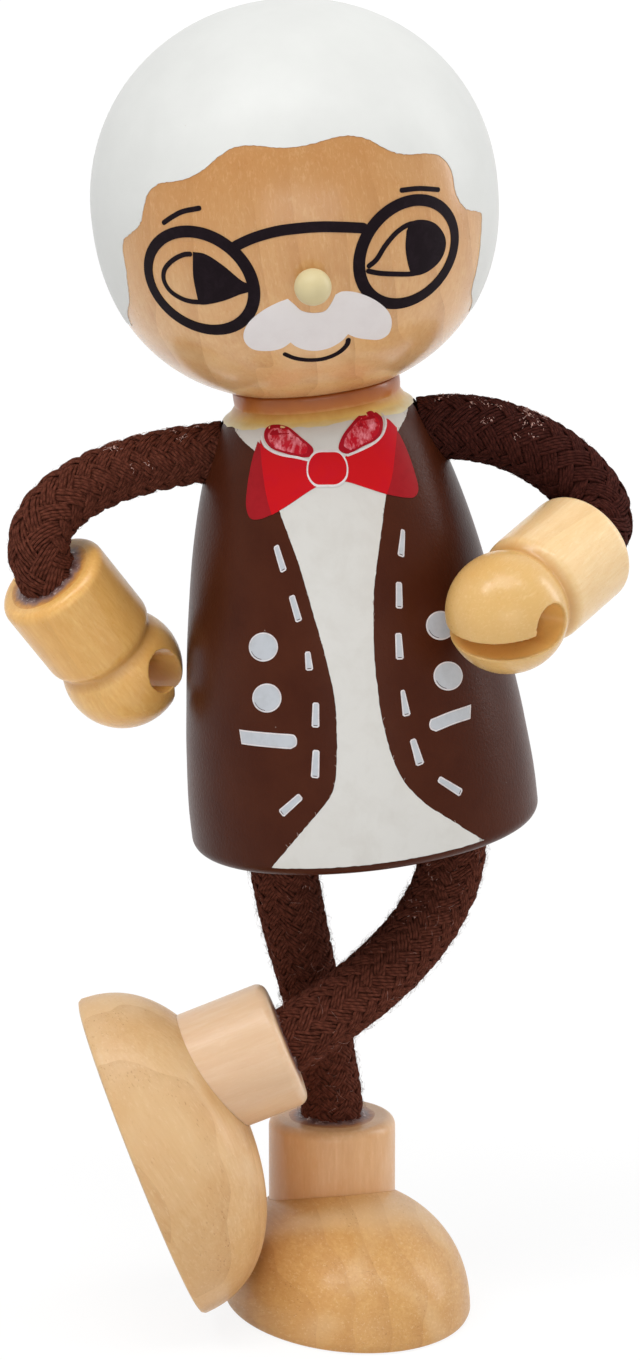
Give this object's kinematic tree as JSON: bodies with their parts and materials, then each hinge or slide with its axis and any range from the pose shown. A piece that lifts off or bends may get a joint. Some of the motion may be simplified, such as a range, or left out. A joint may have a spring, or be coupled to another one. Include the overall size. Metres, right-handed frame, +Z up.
{
  "type": "bendy doll",
  "caption": "Bendy doll with a turned wooden body and ball head, wooden hands and shoes, and limbs of braided cord over bending wire, standing on one foot.",
  "frame": {"origin": "on the flat standing sole, below the standing ankle's axis", "axes": "+Z up along the standing ankle, -Y the way the doll faces, +X to the doll's left"},
  "size_m": [0.0544, 0.0386, 0.1155],
  "materials": {
    "jacket_paint": "satin brown paint on turned wood, with a printed shirt front, bow tie, buttons and stitches",
    "face_paint_wood": "clear satin lacquer on turned wood, with painted white hair and a printed face",
    "cream_paint": "cream lacquer, a little glossy",
    "birch": "raw birch",
    "hand_wood": "glossy clear lacquer on turned wood",
    "ankle_wood": "satin clear lacquer on dowel",
    "shoe_wood": "satin clear lacquer on turned wood",
    "cord_braid": "dark brown braided cotton sleeve, a little fuzzy",
    "clear_glue": "dried glue, a little milky",
    "steel_wire": "soft annealed bending wire"
  },
  "bodies": {
    "torso": {"torso": "jacket_paint", "neck_ring": "cream_paint", "neck_dowel": "birch", "head": "face_paint_wood", "nose": "cream_paint", "right_arm_cord_shoulder_end": "cord_braid", "left_arm_cord_shoulder_end": "cord_braid", "right_leg_cord_hip_end": "cord_braid", "left_leg_cord_hip_end": "cord_braid", "right_arm_wire": "steel_wire", "left_arm_wire": "steel_wire", "right_leg_wire": "steel_wire", "left_leg_wire": "steel_wire"},
    "right_arm_upper": {"right_arm_cord_upper": "cord_braid"},
    "right_arm_elbow": {"right_arm_cord_elbow": "cord_braid"},
    "right_arm_fore": {"right_arm_cord_fore": "cord_braid"},
    "right_arm_wrist_end": {"right_arm_cord_wrist_end": "cord_braid", "right_hand": "hand_wood", "right_wrist_glue": "clear_glue"},
    "left_arm_upper": {"left_arm_cord_upper": "cord_braid"},
    "left_arm_elbow": {"left_arm_cord_elbow": "cord_braid"},
    "left_arm_fore": {"left_arm_cord_fore": "cord_braid"},
    "left_arm_wrist_end": {"left_arm_cord_wrist_end": "cord_braid", "left_hand": "hand_wood", "left_wrist_glue": "clear_glue"},
    "right_leg_thigh": {"right_leg_cord_thigh": "cord_braid"},
    "right_leg_knee": {"right_leg_cord_knee": "cord_braid"},
    "right_leg_shin": {"right_leg_cord_shin": "cord_braid"},
    "right_leg_ankle_end": {"right_leg_cord_ankle_end": "cord_braid", "right_ankle": "ankle_wood", "right_shoe": "shoe_wood", "right_ankle_glue": "clear_glue"},
    "left_leg_thigh": {"left_leg_cord_thigh": "cord_braid"},
    "left_leg_knee": {"left_leg_cord_knee": "cord_braid"},
    "left_leg_shin": {"left_leg_cord_shin": "cord_braid"},
    "left_leg_ankle_end": {"left_leg_cord_ankle_end": "cord_braid", "left_ankle": "ankle_wood", "left_shoe": "shoe_wood", "left_ankle_glue": "clear_glue"}
  },
  "joints": [
    {"name": "right_shoulder_raise", "type": "hinge", "parent": "torso", "child": "right_arm_upper", "pos_m": [-0.01456, -0.00121, 0.07561], "axis": [-0.1057, 0.9942, -0.0197], "range_deg": [0, 45], "deforming": ["right_arm_wire"]},
    {"name": "right_shoulder_swing", "type": "hinge", "parent": "right_arm_upper", "child": "right_arm_elbow", "pos_m": [-0.01885, -0.00199, 0.07455], "axis": [-0.2914, -0.075, 0.9537], "range_deg": [-27, 20], "deforming": ["right_arm_wire"]},
    {"name": "right_elbow_bend", "type": "hinge", "parent": "right_arm_elbow", "child": "right_arm_fore", "pos_m": [-0.02273, -0.00334, 0.07277], "axis": [-0.2985, 0.9338, -0.1972], "range_deg": [0, 45], "deforming": ["right_arm_wire"]},
    {"name": "right_wrist_bend", "type": "hinge", "parent": "right_arm_fore", "child": "right_arm_wrist_end", "pos_m": [-0.02529, -0.0049, 0.06956], "axis": [0.9752, -0.0529, -0.215], "range_deg": [-45, 28], "deforming": ["right_arm_wire"]},
    {"name": "left_shoulder_raise", "type": "hinge", "parent": "torso", "child": "left_arm_upper", "pos_m": [0.01281, -0.00097, 0.07822], "axis": [0.0086, -1, -0.0015], "range_deg": [-8, 45], "deforming": ["left_arm_wire"]},
    {"name": "left_shoulder_swing", "type": "hinge", "parent": "left_arm_upper", "child": "left_arm_elbow", "pos_m": [0.0171, -0.001, 0.0768], "axis": [-0.4391, 0.0154, -0.8983], "range_deg": [-45, 12], "deforming": ["left_arm_wire"]},
    {"name": "left_elbow_bend", "type": "hinge", "parent": "left_arm_elbow", "child": "left_arm_fore", "pos_m": [0.02082, -0.0014, 0.07429], "axis": [0.6502, -0.1544, 0.7439], "range_deg": [-10, 45], "deforming": ["left_arm_wire"]},
    {"name": "left_wrist_bend", "type": "hinge", "parent": "left_arm_fore", "child": "left_arm_wrist_end", "pos_m": [0.02305, -0.00306, 0.07086], "axis": [0.8529, -0.3384, 0.3975], "range_deg": [-25, 45], "deforming": ["left_arm_wire"]},
    {"name": "right_hip_spread", "type": "hinge", "parent": "torso", "child": "right_leg_thigh", "pos_m": [-0.00405, -0.00094, 0.03737], "axis": [-0.0043, 0.9997, 0.0245], "range_deg": [-15, 0], "deforming": ["right_leg_wire"]},
    {"name": "right_hip_swing", "type": "hinge", "parent": "right_leg_thigh", "child": "right_leg_knee", "pos_m": [-0.00295, -0.00074, 0.03196], "axis": [0.9755, -0.0107, 0.2199], "range_deg": [0, 45], "deforming": ["right_leg_wire"]},
    {"name": "right_knee_bend", "type": "hinge", "parent": "right_leg_knee", "child": "right_leg_shin", "pos_m": [-0.00163, -0.00043, 0.02633], "axis": [0.9742, -0.0131, 0.2253], "range_deg": [0, 45], "deforming": ["right_leg_wire"]},
    {"name": "right_ankle_bend", "type": "hinge", "parent": "right_leg_shin", "child": "right_leg_ankle_end", "pos_m": [-0.00046, -0.00013, 0.02067], "axis": [0.9868, -0.0072, 0.1619], "range_deg": [0, 45], "deforming": ["right_leg_wire"]},
    {"name": "left_hip_spread", "type": "hinge", "parent": "torso", "child": "left_leg_thigh", "pos_m": [0.01042, -0.00163, 0.03914], "axis": [0.0694, -0.9564, 0.2838], "range_deg": [-10, 0], "deforming": ["left_leg_wire"]},
    {"name": "left_hip_swing", "type": "hinge", "parent": "left_leg_thigh", "child": "left_leg_knee", "pos_m": [0.00819, -0.00387, 0.03465], "axis": [0.8411, -0.3028, -0.4481], "range_deg": [-34, 0], "deforming": ["left_leg_wire"]},
    {"name": "left_knee_bend", "type": "hinge", "parent": "left_leg_knee", "child": "left_leg_shin", "pos_m": [0.00455, -0.00662, 0.0311], "axis": [-0.3607, 0.8889, -0.2823], "range_deg": [0, 30], "deforming": ["left_leg_wire"]},
    {"name": "left_ankle_bend", "type": "hinge", "parent": "left_leg_shin", "child": "left_leg_ankle_end", "pos_m": [0.00018, -0.00895, 0.02812], "axis": [-0.5266, 0, 0.8501], "range_deg": [0, 45], "deforming": ["left_leg_wire"]}
  ]
}
